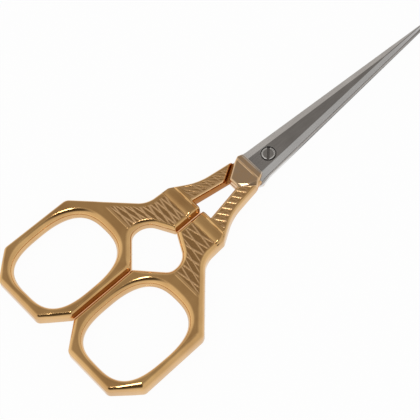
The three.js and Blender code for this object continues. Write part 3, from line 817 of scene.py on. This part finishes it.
steel = steelMaterial("ground steel", steelFinish)
boreLow, boreHigh = screw["boreEnds"]
for half, node, tang, bore in (("front_half", "front_blade", blade["tang"], screw["bore"]),
                               ("rear_half", "rear_blade", blade["rearTang"], screw["threadBore"])):
    turnedOver = half == "rear_half"
    bladePoints, bladeFaces = bladeLoft(tang)
    piece = makePiece(node + "_ground", placed(bladePoints, turnedOver), bladeFaces, steel, half, node)
    profile = [(bore, boreLow), (bore, boreHigh)]
    if not turnedOver:  # the head's counterbore, with a bevelled mouth
        seat = bladeTop - screw["headHeight"] - screw["seat"]
        wide, (widening, mouthBelow, mouthAbove) = screw["counterbore"], screw["mouth"]
        profile[1:] = [(bore, seat), (wide, seat), (wide, bladeTop - mouthBelow),
                       (wide + widening, bladeTop + mouthAbove), (wide + widening, boreHigh)]
    toolPoints, toolFaces = turned(profile)
    cutOut(piece, placed(toolPoints, turnedOver), toolFaces)
    own = ownPoints(piece.data, turnedOver)
    # The blade's painted shade: on its flat, and darkest on the spine's side, the cutting bevel and the bores
    setShare(piece.data, "flat", flatShadeShare(own, tang))
    setShare(piece.data, "paintedShade", paintedShadeShare(own, tang))

# On the screw, flat is the painted shade of the head's top
screwFinish = dict(steelFinish, light=(0.72, 0.71, 0.69), dark=(0.58, 0.57, 0.56), flat=(0.25, 0.24, 0.235),
                   satin=0.34, dull=0.42, lines=(3000, 3000, 3000))
shank, head, burr = screw["shank"], screw["head"], screw["burr"]
underHead, dishTop = bladeTop - screw["headHeight"], bladeTop - screw["dish"]
rimInner = head - screw["rimWidth"]
small, large = screw["headRound"]
headProfile = [(shank - burr, -bladeTop), (shank, burr - bladeTop), (shank, underHead), (head, underHead),
               (head, bladeTop - large), (head - small, bladeTop - small), (head - large, bladeTop),
               (rimInner, bladeTop - screw["rimFall"]), (rimInner - screw["dishRun"], dishTop),
               (screw["dishMiddle"], dishTop)]
screwPoints, screwFaces = turned(headProfile)
screwPiece = makePiece("pivot_screw_turned", placed(screwPoints, False), screwFaces,
                       steelMaterial("turned steel", screwFinish), "rear_half", "pivot_screw")
slotWidth, slotDepth = screw["slot"]
corner = np.array([[x, y, z] for z in (-1, 1) for y in (-1, 1) for x in (-1, 1)], float)
bar = corner * [head + 1, slotWidth / 2, slotDepth]  # longer than the head is wide
turn = math.radians(screw["slotAngle"])
bar = bar @ np.array([[math.cos(turn), math.sin(turn), 0], [-math.sin(turn), math.cos(turn), 0], [0, 0, 1]])
cutOut(screwPiece, placed(bar + [0, 0, bladeTop], False),
       [(0, 2, 3, 1), (4, 5, 7, 6), (0, 1, 5, 4), (2, 6, 7, 3), (0, 4, 6, 2), (1, 3, 7, 5)])
own = ownPoints(screwPiece.data, False)
# Painted shade on the screw: darker on the flat top inside the rim, darkest in the slot and lower down
sunkBy = bladeTop - own[:, 2]
setShare(screwPiece.data, "flat", (sunkBy < screw["flatTo"]) & (np.hypot(own[:, 0], own[:, 1]) < rimInner))
setShare(screwPiece.data, "paintedShade", sunkBy > screw["shadeBelow"])
print("screw cut:", len(screwPiece.data.polygons), "faces")


# Studio: a patch of the room is (azimuth, elevation), outer and inner reach in degrees, and tone
studio = dict(floorReach=1.5, floorDrop=0.00002, floorWhite=0.95, floorRough=0.9, glow=(0.96, 0.93),
              horizon=1.0, walls=0.79, wallsFrom=(0.0, 0.4), sway=0.15, swayTowards=(-15, 0),
              tint=(1.0, 1.0, 0.98), far=((-120, 3), (42, 18), (0.70, 0.68, 0.66)),
              dim=((-135, 59), (43, 15), (0.51, 0.475, 0.445)),
              dark=((46, 67), (33, 18), (0.11, 0.095, 0.08)), boxTowards=(-50, 86.6), boxDistance=1.0,
              boxSize=(0.27, 0.13), boxTurn=-33, boxPower=0.9)


# Direction by azimuth and elevation in degrees; azimuth 0 is towards -y and 90 towards +x
def towards(azimuth, elevation):
    a, e = math.radians(azimuth), math.radians(elevation)
    return Vector((math.sin(a) * math.cos(e), -math.cos(a) * math.cos(e), math.sin(e)))


# Floor: white to the eye and pale to reflections, with a share of its real shade kept for the shadow
def makeFloor():
    r = studio["floorReach"]
    floor = addMesh("floor", [(-r, -r, 0), (r, -r, 0), (r, r, 0), (-r, r, 0)], [(0, 1, 2, 3)])
    floor.location.z = -studio["floorDrop"]
    material, tree, shader = newMaterial("white paper")
    shader.inputs["Base Color"].default_value = (studio["floorWhite"],) * 3 + (1,)
    shader.inputs["Roughness"].default_value = studio["floorRough"]
    shader.inputs["Specular IOR Level"].default_value = 0
    seen = addNode(tree, "LightPath", {})
    toEye, toMirror = studio["glow"]
    direct = mathNode(tree, "MULTIPLY", seen["Is Camera Ray"], toEye)
    mirrored = mathNode(tree, "MAXIMUM", seen["Is Glossy Ray"], seen["Is Transmission Ray"])
    share = mathNode(tree, "MAXIMUM", direct, mathNode(tree, "MULTIPLY", mirrored, toMirror))
    glow = addNode(tree, "Emission", {})["Emission"]
    mix = addNode(tree, "MixShader", {0: share, 1: shader.outputs["BSDF"], 2: glow})
    tree.links.new(mix["Shader"], tree.nodes["Material Output"].inputs["Surface"])
    floor.data.materials.append(material)


# Room light: palest round the horizon and towards the front left, with a dimmer stretch low on the far side,
# a dim patch overhead and a darker one where the camera stands
def makeRoom():
    world = bpy.data.worlds.new("room")
    scene.world = world
    world.use_nodes = True
    tree = world.node_tree
    way = addNode(tree, "TexCoord", {})["Generated"]
    height = addNode(tree, "SeparateXYZ", dict(Vector=way))["Z"]
    level = rangeNode(tree, height, *studio["wallsFrom"], studio["horizon"], studio["walls"])
    sway = rangeNode(tree, alongNode(tree, way, towards(*studio["swayTowards"])), -1, 1,
                     1 - studio["sway"], 1 + studio["sway"])
    level = mathNode(tree, "MULTIPLY", level, sway)
    colour = addNode(tree, "VectorMath", {0: studio["tint"], "Scale": level}, "SCALE")["Vector"]
    for place, reach, tone in (studio["far"], studio["dim"], studio["dark"]):
        ends = [math.cos(math.radians(a)) for a in reach]
        shade = rampNode(tree, alongNode(tree, way, towards(*place)), ends, ((1, 1, 1), tone))
        colour = addNode(tree, "VectorMath", {0: colour, 1: shade}, "MULTIPLY")["Vector"]
    tree.links.new(colour, tree.nodes["Background"].inputs["Color"])


# Soft box above, facing straight down
def makeSoftBox():
    lamp = bpy.data.lights.new("soft box", "AREA")
    lamp.shape = "RECTANGLE"
    lamp.size, lamp.size_y = studio["boxSize"]
    lamp.energy = studio["boxPower"]
    box = addObject("soft box", lamp)
    box.location = towards(*studio["boxTowards"]) * studio["boxDistance"]
    box.rotation_euler.z = math.radians(studio["boxTurn"])


view = dict(target=(0.00077, -0.00984, 0.0017), azimuth=57.06, elevation=62.22, distance=0.42716, roll=-10.30,
            lens=181.76, sensor=36, clip=(0.01, 10))


def makeCamera():
    lens = bpy.data.cameras.new("camera")
    lens.lens, lens.sensor_width = view["lens"], view["sensor"]
    lens.clip_start, lens.clip_end = view["clip"]
    camera = addObject("camera", lens)
    way = towards(view["azimuth"], view["elevation"])
    camera.location = Vector(view["target"]) + way * view["distance"]
    level = way.to_track_quat("Z", "Y").to_matrix()
    camera.rotation_euler = (level @ Euler((0, 0, math.radians(view["roll"]))).to_matrix()).to_euler()
    scene.camera = camera


makeFloor()
makeRoom()
makeSoftBox()
makeCamera()
scene.view_settings.view_transform = "Standard"
print("studio ready")
